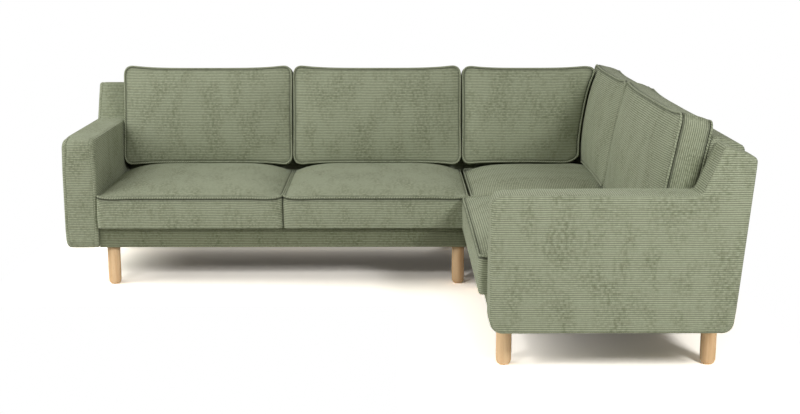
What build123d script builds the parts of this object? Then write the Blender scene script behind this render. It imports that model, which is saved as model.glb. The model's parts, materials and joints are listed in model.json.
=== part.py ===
from build123d import *
import os
from collections import namedtuple
from math import cos, radians, sin, tan

# Corner sofa of two sections: a two-seat section with an arm on its left, and a return section
# that holds the corner seat, one wide seat and the arm nearest the viewer.
# Millimetres, +Z up, origin on the floor in the middle of the plan, front towards -Y.

# Plan
SEAT_WIDTH = 800  # one seat of the two-seat section
MAIN_SEATS = 2  # seats of the two-seat section
RETURN_SEAT = 1080  # return seat, from its arm to the front line of the two-seat section
ARM_WIDTH = 145
DEPTH = 880  # front of an arm to its rear corner at the top
BASE_RECESS = 15  # seat base behind the front line of the arms
BACK_DEPTH = 225  # foot of a back to the rear corner of an arm's top
SECTION_GAP = 2  # between the two sections

# Heights above the floor, and falls from them
UNDERSIDE = 172  # underside of the bases, which the legs reach
BASE_HEIGHT = 94  # underside to the seat deck
ARM_DROP = 5  # arms reach this far below the bases
ARM_HEIGHT = 646
POST_HEIGHT = 815  # front edge of a post's top
POST_FALL = 43  # post's top, front edge to rear edge
BACK_HEIGHT = 826  # front edge of a back's top
BACK_FALL = 34  # back's top, front edge to rear edge

# Arm outline, seen from the side
POST_DEPTH = 178  # foot of a post's front edge to the rear corner of its top
POST_LEAN = 70  # post's front edge leans back by this much
REAR_LEAN = 52  # rear edge leans back by this much
FRONT_BOTTOM_RADIUS = 45
FRONT_TOP_RADIUS = 46
POST_FOOT_RADIUS = 25
POST_FRONT_RADIUS = 16
POST_REAR_RADIUS = 20
REAR_BOTTOM_RADIUS = 38
ARM_EDGE = 8  # padded edge eased round each side panel

# Arm build-up
ARM_PAD = 18  # foam and fabric over the arm frame
CHEEK = 12  # plywood side of an arm frame
ARM_RAIL = 60  # rail ring between the cheeks, seen from the side
GLUE_LINE = 0.2  # between glued or stapled pieces

# Backs
BACK_RAKE = 10.6  # degrees, face of a back behind the upright
BACK_INSET = 8  # rear of a back inside the rear line of the arms
BACK_PAD = 20  # foam and fabric in front of and above a back frame
BACK_SKIN = 8  # lining and fabric behind a back frame
BACK_END = 6  # end wall of a back's cover
BACK_TOP_RADIUS = 24
BACK_BOTTOM_RADIUS = 6
BACK_BOTTOM_RAIL = 70
BACK_TOP_RAIL = 45
POST_BOARD = 30  # width of a back post
POST_END = 120  # end of a back to the middle of its first post
BACK_POST_SPACING = 800  # largest distance between back posts
BACK_STRAPS = 3
STRAP_WIDTH = 60
STRAP = 2.5  # thickness of the elastic webbing

# Seat bases
BASE_PAD = 15  # foam and fabric on the front of a base
BASE_SKIN = 4  # fabric and board on its ends and rear
DECK_PAD = 12
BASE_EDGE_RADIUS = 10
RAIL = 25
CORNER_BLOCK = 110  # short sides of a triangular corner block
DUST_COVER = 1.5
STRAP_PITCH = 105

# Legs and their fixings
LEG_RADIUS = 28
LEG_FOOT_RADIUS = 12  # rounded lower edge, worked in two flats
LEG_FROM_END = 19  # end rail or cross rail to the middle of a leg
LEG_FROM_JOINT = 24  # rail at the jointed end to the middle of a leg
LEG_FROM_FRONT = 11  # front rail to the middle of a leg
LEG_FROM_REAR = 18  # rear of a back's bottom rail to the middle of a leg
LEG_FROM_MITRE = 60  # corner leg in front of the rear row
BOLT_RADIUS = 4
BOLT_SIDES = 6  # bolts, nuts and their bores are worked as prisms
BOLT_IN_LEG = 45
BOLT_CLEARANCE = 0.3
NUT_FLANGE_RADIUS = 10
NUT_FLANGE = 1.5
NUT_BARREL_RADIUS = 5.5
NUT_BARREL = 12

# Bolts that hold an arm on its base
ARM_BOLT_FRONT = 180
ARM_BOLT_REAR = 520
ARM_BOLT_GRIP = 25  # length of bolt in the arm's rail ring
BOLT_HEAD_RADIUS = 9
BOLT_HEAD = 5

# Hooks that hold the two sections together
TONGUE_WIDTH = 30
TONGUE = 4
TONGUE_TAIL = 70  # screwed below the two-seat section
TONGUE_REACH = 55  # slides below the return section
TONGUE_FRONT = 150
TONGUE_REAR = 520
STIRRUP = 3  # thickness of the strap that takes the tongue
STIRRUP_WIDTH = 30
STIRRUP_SETBACK = 12
STIRRUP_FLANGE = 18
HOOK_CLEARANCE = 0.3

# Loose cushions
CUSHION_GAP = 4  # between cushions, and twice the gap to an arm
CUSHION_CLEARANCE = 0.3  # to what a cushion rests on
OVERHANG = 28  # seat cushion in front of the arms
SEAT_BOXING = 134  # height of a seat cushion at its seams
SEAT_CROWN = 58
SEAT_FRONT_SWELL = 9
SHOULDER = 0.14  # share of the depth over which the crown rises
SHOULDER_RISE = 0.78  # share of the crown reached there
SHOULDER_MIDDLE = 0.4  # place in the shoulder that sets its roundness
SHOULDER_SWELL = 0.46  # share of the crown reached at that place
BACK_BOXING = 115  # thickness of a back cushion at its seams
BACK_CUSHION = 478  # height of a back cushion at its corners
BACK_CROWN = 42
BACK_SIT = 150  # deck to the lower rear edge of a back cushion
BACK_DIP = 18  # top seam drawn down between the corners
BACK_ARCH = 26  # lower seam lifted between the corners
CORNER_CLEARANCE = 47  # corner cushion to the seams of the one beside it

# Stations along a cushion, each with its share of the full crown: the ends are drawn in
STATIONS = ((0, 0.12), (0.12, 1), (0.88, 1), (1, 0.12))

# Derived levels and lines of the plan
deck = UNDERSIDE + BASE_HEIGHT
arm_bottom = UNDERSIDE - ARM_DROP
post_rear_height = POST_HEIGHT - POST_FALL
rail_bottom = UNDERSIDE + DUST_COVER
rail_top = deck - DECK_PAD - STRAP
left_x = -(ARM_WIDTH + MAIN_SEATS * SEAT_WIDTH + DEPTH) / 2
near_y = -(ARM_WIDTH + RETURN_SEAT + DEPTH) / 2
arm_x = left_x + ARM_WIDTH
arm_y = near_y + ARM_WIDTH
corner_x = arm_x + MAIN_SEATS * SEAT_WIDTH
corner_y = arm_y + RETURN_SEAT
joint_x = corner_x + BASE_RECESS
arm_top = DEPTH - POST_DEPTH  # length of an arm's level top
back_foot = DEPTH - BACK_DEPTH  # front line of the arms to the foot of a back
rake = radians(BACK_RAKE)
end_rail_face = BASE_SKIN + GLUE_LINE + RAIL  # end of a base to the inner face of its end rail
front_rail_face = BASE_RECESS + BASE_PAD + GLUE_LINE + RAIL

# A section is worked in its own plan: s along its length, u from the front line to the rear
Section = namedtuple("Section", "name plane length")
main = Section(
    "main",
    Plane(origin=(arm_x, corner_y, 0), x_dir=(1, 0, 0), z_dir=(0, 0, 1)),
    joint_x - SECTION_GAP - arm_x,
)
side = Section(
    "return",
    Plane(origin=(corner_x, corner_y + back_foot, 0), x_dir=(0, -1, 0), z_dir=(0, 0, 1)),
    corner_y + back_foot - arm_y,
)
corner_line = back_foot + OVERHANG + CUSHION_GAP / 2  # where the corner seat meets the return seat

# A back is one cross-section (u, height) run along a straight line, mitred at the corner
Back = namedtuple("Back", "name plane length keep posts_from posts_to")
MITRE = Plane(origin=(corner_x, corner_y, 0), z_dir=(1, -1, 0))
BACKS = (
    Back(
        "main_back",
        Plane(origin=(arm_x, corner_y, 0), x_dir=(0, 1, 0), z_dir=(1, 0, 0)),
        main.length,
        None,
        POST_END,
        main.length - POST_END,
    ),
    Back(
        "return_back",
        Plane(origin=(corner_x, corner_y + DEPTH, 0), x_dir=(1, 0, 0), z_dir=(0, -1, 0)),
        DEPTH + RETURN_SEAT,
        Keep.TOP,
        DEPTH - back_foot + POST_END,
        DEPTH + RETURN_SEAT - POST_END,
    ),
    Back(
        "end_back",
        Plane(origin=(joint_x, corner_y, 0), x_dir=(0, 1, 0), z_dir=(1, 0, 0)),
        DEPTH - BASE_RECESS,
        Keep.BOTTOM,
        POST_END,
        back_foot - BASE_RECESS - POST_END,
    ),
)


def save(piece, label):
    """Names a finished piece and writes it to its own file."""
    piece.label = label
    export_step(piece, f"parts/{label}.step")


def spread(first, last, spacing):
    """Evenly spaced places from first to last, no further apart than the spacing."""
    steps = max(1, -int(-(last - first) // spacing))
    return [first + (last - first) * i / steps for i in range(steps + 1)]


def leg_point(leg, height):
    """Where a leg's axis crosses a height."""
    return leg.section.plane.from_local_coords(Vector(leg.s, leg.u, height))


def arm_rear(height):
    """Rear line of an arm at a height."""
    rise = (height - arm_bottom) / (post_rear_height - arm_bottom)
    return DEPTH - REAR_LEAN * (1 - rise)


def back_front(height):
    """Face of a back at a height: upright up to the deck, raked above it."""
    return back_foot + max(0, height - deck) * tan(rake)


def back_rear(height):
    """Rear of a back at a height."""
    return arm_rear(height) - BACK_INSET


# Every leg: its row, section and place in the section's plan
Leg = namedtuple("Leg", "row section s u")
leg_front = front_rail_face + LEG_FROM_FRONT
leg_rear = back_rear(UNDERSIDE) - BACK_SKIN - LEG_FROM_REAR
leg_end = end_rail_face + LEG_FROM_END
leg_joint = main.length - end_rail_face - LEG_FROM_JOINT
leg_middle = corner_line + RAIL / 2 + LEG_FROM_END
LEGS = (
    Leg("main_front_legs", main, leg_end, leg_front),
    Leg("main_front_legs", main, leg_joint, leg_front),
    Leg("main_rear_legs", main, leg_end, leg_rear),
    Leg("main_rear_legs", main, leg_joint, leg_rear),
    Leg("return_front_legs", side, side.length - leg_end, leg_front),
    Leg("return_rear_legs", side, side.length - leg_end, leg_rear),
    Leg("return_front_legs", side, leg_middle, leg_front),
    Leg("return_rear_legs", side, leg_middle, leg_rear),
    Leg("return_front_legs", side, back_foot - leg_rear, leg_front),
    Leg("return_rear_legs", side, back_foot - leg_rear + LEG_FROM_MITRE, leg_rear),
)


def back_slice(low, high, front):
    """Cross-section of a timber between two heights inside a back, set back from its face."""
    return (
        (back_front(low) + front, low),
        (back_rear(low) - BACK_SKIN, low),
        (back_rear(high) - BACK_SKIN, high),
        (back_front(high) + front, high),
    )


def run(back, points, start, stop, radius=0):
    """A cross-section run along a back, cut at the mitre where the back has one."""
    with BuildPart() as piece:
        with BuildSketch(back.plane.offset(start)):
            with BuildLine():
                FilletPolyline(*points, radius=radius, close=True)
            make_face()
        extrude(amount=stop - start)
        if back.keep:
            split(bisect_by=MITRE, keep=back.keep)
    return piece.part


def timber(section, s_limits, u_limits, z_limits):
    """A squared timber between limits in a section's own directions."""
    with BuildPart() as piece:
        with BuildSketch(section.plane.offset(z_limits[0])):
            with BuildLine():
                Polyline(
                    (s_limits[0], u_limits[0]),
                    (s_limits[1], u_limits[0]),
                    (s_limits[1], u_limits[1]),
                    (s_limits[0], u_limits[1]),
                    close=True,
                )
            make_face()
        extrude(amount=z_limits[1] - z_limits[0])
    return piece.part


def corner_block(section, s, u, toward):
    """A triangular block glued into a corner of a base frame, with its square corner at s, u."""
    with BuildPart() as piece:
        with BuildSketch(section.plane.offset(rail_bottom)):
            with BuildLine():
                Polyline((s, u), (s + toward * CORNER_BLOCK, u), (s, u + CORNER_BLOCK), close=True)
            make_face()
        extrude(amount=rail_top - rail_bottom)
    return piece.part


def prisms(points, radius, height):
    """Upright prisms for bolts and their bores, standing on the given points."""
    with BuildPart() as piece:
        with BuildSketch(Plane.XY.offset(points[0].Z)):
            with Locations(*[(point.X, point.Y) for point in points]):
                RegularPolygon(radius, BOLT_SIDES)
        extrude(amount=height)
    return piece.part


def at_legs(height):
    """The points of all the leg axes at a height."""
    return [leg_point(leg, height) for leg in LEGS]


def leg_bores():
    """Bores for the leg bolts and tee nuts, from inside the legs up to the top of the rails."""
    foot = UNDERSIDE - BOLT_IN_LEG - BOLT_CLEARANCE
    flange = NUT_FLANGE + BOLT_CLEARANCE
    barrel = flange + NUT_BARREL + BOLT_CLEARANCE
    shanks = prisms(at_legs(foot), BOLT_RADIUS + BOLT_CLEARANCE, rail_top - foot)
    barrels = prisms(at_legs(rail_top - barrel), NUT_BARREL_RADIUS + BOLT_CLEARANCE, barrel)
    flanges = prisms(at_legs(rail_top - flange), NUT_FLANGE_RADIUS + BOLT_CLEARANCE, flange)
    with BuildPart() as bores:
        add([shanks, barrels, flanges])
    return bores.part


# Arm bolts run from inside an end rail into the arm
arm_bolt_height = (rail_bottom + rail_top) / 2
arm_bolt_length = RAIL + BASE_SKIN + ARM_PAD + GLUE_LINE + CHEEK + GLUE_LINE + ARM_BOLT_GRIP
arm_bolt_seats = [
    Plane(origin=(arm_x + end_rail_face, corner_y + u, arm_bolt_height), z_dir=(-1, 0, 0))
    for u in (ARM_BOLT_FRONT, ARM_BOLT_REAR)
] + [
    Plane(origin=(corner_x + u, arm_y + end_rail_face, arm_bolt_height), z_dir=(0, -1, 0))
    for u in (ARM_BOLT_FRONT, ARM_BOLT_REAR)
]


def arm_bolt_bores():
    """Clearance bores for all the arm bolts."""
    with BuildPart() as bores:
        for seat in arm_bolt_seats:
            with BuildSketch(seat):
                RegularPolygon(BOLT_RADIUS + BOLT_CLEARANCE, BOLT_SIDES)
            extrude(amount=arm_bolt_length + BOLT_CLEARANCE)
    return bores.part


# Side outline of an arm, from the lower front corner round by the rear
arm_corners = (
    (0, arm_bottom),
    (DEPTH - REAR_LEAN, arm_bottom),
    (DEPTH, post_rear_height),
    (arm_top + POST_LEAN, POST_HEIGHT),
    (arm_top, ARM_HEIGHT),
    (0, ARM_HEIGHT),
)
arm_radii = (
    FRONT_BOTTOM_RADIUS,
    REAR_BOTTOM_RADIUS,
    POST_REAR_RADIUS,
    POST_FRONT_RADIUS,
    POST_FOOT_RADIUS,
    FRONT_TOP_RADIUS,
)
bolt_bores = arm_bolt_bores()


def arm_core(plane, start, stop, inset, hollow=0):
    """The arm's outline drawn in by an inset, between two distances from a side, hollow if asked."""
    with BuildPart() as piece:
        with BuildSketch(plane.offset(start)) as outline:
            with BuildLine():
                Polyline(*arm_corners, close=True)
            make_face()
            offset(amount=-inset, kind=Kind.INTERSECTION, mode=Mode.REPLACE)
            if hollow:
                offset(outline.face(), amount=-hollow, kind=Kind.INTERSECTION, mode=Mode.SUBTRACT)
        extrude(amount=stop - start)
    return piece.part


def make_arm(name, plane):
    """An arm: a padded cover, and inside it two plywood cheeks on a ring of rails."""
    core = arm_core(plane, ARM_PAD, ARM_WIDTH - ARM_PAD, ARM_PAD)
    with BuildPart() as cover:
        with BuildSketch(plane):
            with BuildLine():
                FilletPolyline(*arm_corners, radius=arm_radii, close=True)
            make_face()
        extrude(amount=ARM_WIDTH)
        chamfer(cover.faces().sort_by(SortBy.AREA)[-2:].edges(), ARM_EDGE)
        add(core, mode=Mode.SUBTRACT)
        add(bolt_bores, mode=Mode.SUBTRACT)
    save(cover.part, f"{name}_arm_cover")

    first = ARM_PAD + GLUE_LINE
    last = ARM_WIDTH - ARM_PAD - GLUE_LINE
    inset = ARM_PAD + GLUE_LINE
    near_cheek = arm_core(plane, first, first + CHEEK, inset)
    far_cheek = arm_core(plane, last - CHEEK, last, inset)
    ring = arm_core(plane, first + CHEEK + GLUE_LINE, last - CHEEK - GLUE_LINE, inset, ARM_RAIL)
    with BuildPart() as frame:
        add([near_cheek, far_cheek, ring])
        add(bolt_bores, mode=Mode.SUBTRACT)
    save(frame.part, f"{name}_arm_frame")


def make_base(section, cross_places, blocks):
    """A seat base: cover, rails, blocks, webbing and dust cover."""
    name, length = section.name, section.length
    inner_s = (BASE_SKIN + GLUE_LINE, length - BASE_SKIN - GLUE_LINE)
    inner_u = (BASE_RECESS + BASE_PAD + GLUE_LINE, back_foot - BASE_SKIN - GLUE_LINE)
    rail_z = (rail_bottom, rail_top)
    bay_u = (inner_u[0] + RAIL, inner_u[1] - RAIL)

    body = timber(section, (0, length), (BASE_RECESS, back_foot), (UNDERSIDE, deck))
    cavity = timber(
        section,
        (BASE_SKIN, length - BASE_SKIN),
        (BASE_RECESS + BASE_PAD, back_foot - BASE_SKIN),
        (UNDERSIDE, deck - DECK_PAD),
    )
    front_normal = section.plane.y_dir
    with BuildPart() as cover:
        add(body)
        front = cover.faces().sort_by(Axis(section.plane.origin, front_normal))[0]
        long_edges = front.edges().filter_by(Axis(section.plane.origin, section.plane.x_dir))
        fillet(long_edges, BASE_EDGE_RADIUS)
        add(cavity, mode=Mode.SUBTRACT)
        add(bolt_bores, mode=Mode.SUBTRACT)
    save(cover.part, f"{name}_base_cover")

    front_rail = timber(section, inner_s, (inner_u[0], bay_u[0]), rail_z)
    save(front_rail, f"{name}_front_rail")
    rear_rail = timber(section, inner_s, (bay_u[1], inner_u[1]), rail_z)
    save(rear_rail, f"{name}_rear_rail")

    ends = [
        timber(section, (inner_s[0], inner_s[0] + RAIL), bay_u, rail_z),
        timber(section, (inner_s[1] - RAIL, inner_s[1]), bay_u, rail_z),
    ]
    with BuildPart() as end_rails:
        add(ends)
        add(bolt_bores, mode=Mode.SUBTRACT)
    save(end_rails.part, f"{name}_end_rails")

    crosses = [timber(section, (s - RAIL / 2, s + RAIL / 2), bay_u, rail_z) for s in cross_places]
    with BuildPart() as cross_rails:
        add(crosses)
    save(cross_rails.part, f"{name}_cross_rails")

    wedges = [corner_block(section, s, bay_u[0], toward) for s, toward in blocks]
    with BuildPart() as leg_blocks:
        add(wedges)
        add(leg_bore_set, mode=Mode.SUBTRACT)
    save(leg_blocks.part, f"{name}_leg_blocks")

    straps = [
        timber(section, (s - STRAP_WIDTH / 2, s + STRAP_WIDTH / 2), inner_u, (rail_top, rail_top + STRAP))
        for s in spread(STRAP_PITCH, length - STRAP_PITCH, STRAP_PITCH)
    ]
    with BuildPart() as webbing:
        add(straps)
    save(webbing.part, f"{name}_seat_webbing")

    sheet = timber(section, inner_s, inner_u, (UNDERSIDE, rail_bottom))
    with BuildPart() as dust_cover:
        add(sheet)
        add(leg_bore_set, mode=Mode.SUBTRACT)
    save(dust_cover.part, f"{name}_dust_cover")


def make_back(back):
    """An upholstered back: cover, bottom and top rails, posts and webbing."""
    top_rear = BACK_HEIGHT - BACK_FALL
    outer = (
        (back_foot, UNDERSIDE),
        (back_rear(UNDERSIDE), UNDERSIDE),
        (back_rear(top_rear), top_rear),
        (back_front(BACK_HEIGHT), BACK_HEIGHT),
        (back_foot, deck),
    )
    outer_radii = (0, BACK_BOTTOM_RADIUS, BACK_TOP_RADIUS, BACK_TOP_RADIUS, 0)
    inner_front = BACK_HEIGHT - BACK_PAD
    inner_rear = top_rear - BACK_PAD
    hollow = (
        (back_foot + BACK_PAD, UNDERSIDE),
        (back_rear(UNDERSIDE) - BACK_SKIN, UNDERSIDE),
        (back_rear(inner_rear) - BACK_SKIN, inner_rear),
        (back_front(inner_front) + BACK_PAD, inner_front),
        (back_foot + BACK_PAD, deck),
    )
    start = BACK_END
    stop = back.length - BACK_END
    shell = run(back, outer, 0, back.length, outer_radii)
    cavity = run(back, hollow, start, stop)
    with BuildPart() as cover:
        add(shell)
        add(cavity, mode=Mode.SUBTRACT)
    save(cover.part, f"{back.name}_cover")

    front = BACK_PAD + STRAP + GLUE_LINE
    first = start + GLUE_LINE
    last = stop - GLUE_LINE
    post_low = UNDERSIDE + BACK_BOTTOM_RAIL
    post_high = inner_rear - BACK_TOP_RAIL
    lower = run(back, back_slice(UNDERSIDE, post_low, front), first, last)
    with BuildPart() as bottom_rail:
        add(lower)
        add(leg_bore_set, mode=Mode.SUBTRACT)
    save(bottom_rail.part, f"{back.name}_bottom_rail")

    top_rail = run(back, back_slice(post_high, inner_rear, front), first, last)
    save(top_rail, f"{back.name}_top_rail")

    boards = [
        run(back, back_slice(post_low, post_high, front), s - POST_BOARD / 2, s + POST_BOARD / 2)
        for s in spread(back.posts_from, back.posts_to, BACK_POST_SPACING)
    ]
    with BuildPart() as posts:
        add(boards)
    save(posts.part, f"{back.name}_posts")

    bay = (post_high - post_low) / (BACK_STRAPS + 1)
    bands = []
    for i in range(BACK_STRAPS):
        low = post_low + bay * (i + 1) - STRAP_WIDTH / 2
        high = low + STRAP_WIDTH
        band = (
            (back_front(low) + BACK_PAD + GLUE_LINE, low),
            (back_front(low) + BACK_PAD + GLUE_LINE + STRAP, low),
            (back_front(high) + BACK_PAD + GLUE_LINE + STRAP, high),
            (back_front(high) + BACK_PAD + GLUE_LINE, high),
        )
        bands.append(run(back, band, back.posts_from - POST_BOARD / 2, back.posts_to + POST_BOARD / 2))
    with BuildPart() as webbing:
        add(bands)
    save(webbing.part, f"{back.name}_webbing")


def make_leg_row(row):
    """A row of straight round legs, each with a rounded foot and a bore for its bolt."""
    sole = LEG_RADIUS - LEG_FOOT_RADIUS
    flat = LEG_FOOT_RADIUS * sin(radians(45))
    profile = (
        (0, 0),
        (sole, 0),
        (sole + flat, LEG_FOOT_RADIUS - flat),
        (LEG_RADIUS, LEG_FOOT_RADIUS),
        (LEG_RADIUS, UNDERSIDE),
        (0, UNDERSIDE),
    )
    with BuildPart() as legs:
        for foot in [leg_point(leg, 0) for leg in LEGS if leg.row == row]:
            with BuildSketch(Plane(origin=foot, x_dir=(1, 0, 0), z_dir=(0, -1, 0))):
                with BuildLine():
                    Polyline(*profile, close=True)
                make_face()
            revolve(axis=Axis(foot, (0, 0, 1)))
        add(leg_bore_set, mode=Mode.SUBTRACT)
    save(legs.part, row)


def make_leg_fixings():
    """The bolts in the tops of the legs, and the tee nuts that take them."""
    flange_low = rail_top - BOLT_CLEARANCE - NUT_FLANGE
    foot = UNDERSIDE - BOLT_IN_LEG
    save(prisms(at_legs(foot), BOLT_RADIUS, flange_low - foot), "leg_bolts")

    barrel_low = flange_low - NUT_BARREL
    flanges = prisms(at_legs(flange_low), NUT_FLANGE_RADIUS, NUT_FLANGE)
    barrels = prisms(at_legs(barrel_low), NUT_BARREL_RADIUS, NUT_BARREL)
    threads = prisms(at_legs(barrel_low), BOLT_RADIUS + BOLT_CLEARANCE / 2, NUT_BARREL + NUT_FLANGE)
    with BuildPart() as nuts:
        add([flanges, barrels])
        add(threads, mode=Mode.SUBTRACT)
    save(nuts.part, "leg_tee_nuts")


def make_arm_bolts():
    """Headed bolts, from inside the end rails into the arms."""
    with BuildPart() as bolts:
        for seat in arm_bolt_seats:
            with BuildSketch(seat):
                RegularPolygon(BOLT_RADIUS, BOLT_SIDES)
            extrude(amount=arm_bolt_length)
            with BuildSketch(seat):
                RegularPolygon(BOLT_HEAD_RADIUS, BOLT_SIDES)
            extrude(amount=-BOLT_HEAD)
    save(bolts.part, "arm_bolts")


def make_connectors():
    """Tongues below the two-seat section, and the stirrups of the return section that take them."""
    places = [corner_y + TONGUE_FRONT, corner_y + TONGUE_REAR]
    with BuildPart() as tongues:
        for y in places:
            with BuildSketch(Plane(origin=(joint_x, y, UNDERSIDE), x_dir=(1, 0, 0), z_dir=(0, 0, -1))):
                with Locations(((TONGUE_REACH - TONGUE_TAIL) / 2, 0)):
                    Rectangle(TONGUE_TAIL + TONGUE_REACH, TONGUE_WIDTH)
            extrude(amount=TONGUE)
    save(tongues.part, "connector_tongues")

    slot = TONGUE_WIDTH / 2 + HOOK_CLEARANCE
    drop = TONGUE + HOOK_CLEARANCE
    outline = (
        (-slot - STIRRUP - STIRRUP_FLANGE, 0),
        (-slot, 0),
        (-slot, -drop),
        (slot, -drop),
        (slot, 0),
        (slot + STIRRUP + STIRRUP_FLANGE, 0),
        (slot + STIRRUP + STIRRUP_FLANGE, -STIRRUP),
        (slot + STIRRUP, -STIRRUP),
        (slot + STIRRUP, -drop - STIRRUP),
        (-slot - STIRRUP, -drop - STIRRUP),
        (-slot - STIRRUP, -STIRRUP),
        (-slot - STIRRUP - STIRRUP_FLANGE, -STIRRUP),
    )
    with BuildPart() as stirrups:
        for y in places:
            foot = (joint_x + STIRRUP_SETBACK, y, UNDERSIDE)
            with BuildSketch(Plane(origin=foot, x_dir=(0, 1, 0), z_dir=(1, 0, 0))):
                with BuildLine():
                    Polyline(*outline, close=True)
                make_face()
            extrude(amount=STIRRUP_WIDTH)
    save(stirrups.part, "connector_stirrups")


def make_seat_cushion(name, corner, inward, length, depth):
    """A boxed seat cushion: full crown in the middle, drawn in at its ends, front swelled."""
    inward = Vector(inward)
    along = inward.cross(Vector(0, 0, 1))
    level = deck + CUSHION_CLEARANCE
    with BuildPart() as cushion:
        for station, fullness in STATIONS:
            crown = SEAT_CROWN * fullness
            shoulder = SEAT_BOXING + SHOULDER_RISE * crown
            swell = SEAT_BOXING + SHOULDER_SWELL * crown
            origin = Vector(corner[0], corner[1], level) + along * (length * station)
            with BuildSketch(Plane(origin=origin, x_dir=inward, z_dir=along)):
                with BuildLine():
                    Line((0, 0), (depth, 0))
                    Line((depth, 0), (depth, SEAT_BOXING))
                    ThreePointArc(
                        (depth, SEAT_BOXING),
                        (depth * (1 - SHOULDER_MIDDLE * SHOULDER), swell),
                        (depth * (1 - SHOULDER), shoulder),
                    )
                    ThreePointArc(
                        (depth * (1 - SHOULDER), shoulder),
                        (depth / 2, SEAT_BOXING + crown),
                        (depth * SHOULDER, shoulder),
                    )
                    ThreePointArc(
                        (depth * SHOULDER, shoulder),
                        (depth * SHOULDER_MIDDLE * SHOULDER, swell),
                        (0, SEAT_BOXING),
                    )
                    ThreePointArc(
                        (0, SEAT_BOXING),
                        (-SEAT_FRONT_SWELL * fullness, SEAT_BOXING / 2),
                        (0, 0),
                    )
                make_face()
        loft(ruled=True)
    save(cushion.part, name)


def make_back_cushion(name, foot, along, toward, length, lean=0, lifted=0):
    """A boxed back cushion on the raked back: crowned face, top seam dipped, lower seam arched.

    foot is the lower rear corner, along the way to its far end, toward the sitter's side. The far
    end leans along the row by lean for each unit of height; its lower corner is lifted, as a share
    of the arch, where it stands on the crown of a seat."""
    along = Vector(along)
    up = Vector(0, 0, 1)
    out = Vector(toward) * cos(rake) + up * sin(rake)
    rise = up * cos(rake) - Vector(toward) * sin(rake)
    with BuildPart() as cushion:
        for station, fullness in STATIONS:
            origin = Vector(foot) + along * (length * station)
            slant = along * (lean * station)
            climb = rise + slant * cos(rake)
            low = BACK_ARCH * max(fullness, lifted * station) * climb.length
            high = (BACK_CUSHION - BACK_DIP * fullness) * climb.length
            square = (out + slant * sin(rake)).cross(climb)
            with BuildSketch(Plane(origin=origin, x_dir=climb.cross(square), z_dir=square)):
                with BuildLine():
                    Line((0, low), (BACK_BOXING, low))
                    ThreePointArc(
                        (BACK_BOXING, low),
                        (BACK_BOXING + BACK_CROWN * fullness, (low + high) / 2),
                        (BACK_BOXING, high),
                    )
                    Line((BACK_BOXING, high), (0, high))
                    Line((0, high), (0, low))
                make_face()
        loft(ruled=True)
    save(cushion.part, name)


def make_cushions():
    """Four seat cushions, and the five back cushions that stand on them."""
    half_gap = CUSHION_GAP / 2
    seat_depth = back_foot + OVERHANG - half_gap
    for name, seat in (("seat_cushion_left", 0), ("seat_cushion_middle", MAIN_SEATS - 1)):
        corner = (arm_x + seat * SEAT_WIDTH + half_gap, corner_y - OVERHANG)
        make_seat_cushion(name, corner, (0, 1, 0), SEAT_WIDTH - CUSHION_GAP, seat_depth)
    split_y = corner_y + back_foot - corner_line
    corner_front = half_gap + SEAT_FRONT_SWELL
    make_seat_cushion(
        "seat_cushion_corner",
        (corner_x + corner_front, corner_y + back_foot - half_gap),
        (1, 0, 0),
        corner_line - CUSHION_GAP,
        back_foot - half_gap - corner_front,
    )
    return_seat = (corner_x - OVERHANG, split_y - half_gap)
    return_length = split_y - arm_y - CUSHION_GAP
    make_seat_cushion("seat_cushion_return", return_seat, (1, 0, 0), return_length, seat_depth)

    level = deck + BACK_SIT
    rest = back_front(level) - CUSHION_CLEARANCE
    back_length = SEAT_WIDTH - CUSHION_GAP
    for name, seat in (("back_cushion_left", 0), ("back_cushion_middle", MAIN_SEATS - 1)):
        foot = (arm_x + seat * SEAT_WIDTH + half_gap, corner_y + rest, level)
        make_back_cushion(name, foot, (1, 0, 0), (0, -1, 0), back_length)
    face = rest - BACK_BOXING / cos(rake)  # seams of the return's back cushions, at this level
    make_back_cushion(
        "back_cushion_corner",
        (corner_x + half_gap, corner_y + rest, level),
        (1, 0, 0),
        (0, -1, 0),
        face - CORNER_CLEARANCE - half_gap,
        tan(rake),
        1,
    )
    make_back_cushion(
        "back_cushion_return_far",
        (corner_x + rest, split_y + half_gap, level),
        (0, 1, 0),
        (-1, 0, 0),
        corner_y + rest - split_y - half_gap,
        tan(rake),
    )
    make_back_cushion(
        "back_cushion_return_near",
        (corner_x + rest, arm_y + half_gap, level),
        (0, 1, 0),
        (-1, 0, 0),
        return_length,
    )


os.makedirs("parts", exist_ok=True)
leg_bore_set = leg_bores()

make_arm("left", Plane(origin=(left_x, corner_y, 0), x_dir=(0, 1, 0), z_dir=(1, 0, 0)))
make_arm("return", Plane(origin=(corner_x, arm_y, 0), x_dir=(1, 0, 0), z_dir=(0, -1, 0)))
make_base(
    main,
    [SEAT_WIDTH * seat for seat in range(1, MAIN_SEATS)],
    ((end_rail_face, 1), (main.length - end_rail_face, -1)),
)
make_base(
    side,
    [corner_line, (corner_line + side.length) / 2],
    ((corner_line + RAIL / 2, 1), (side.length - end_rail_face, -1)),
)
for back in BACKS:
    make_back(back)
for row in dict.fromkeys(leg.row for leg in LEGS):
    make_leg_row(row)
make_leg_fixings()
make_arm_bolts()
make_connectors()
make_cushions()
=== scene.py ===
import json
import math

import bmesh
import bpy
import numpy as np
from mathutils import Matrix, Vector, noise


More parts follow.
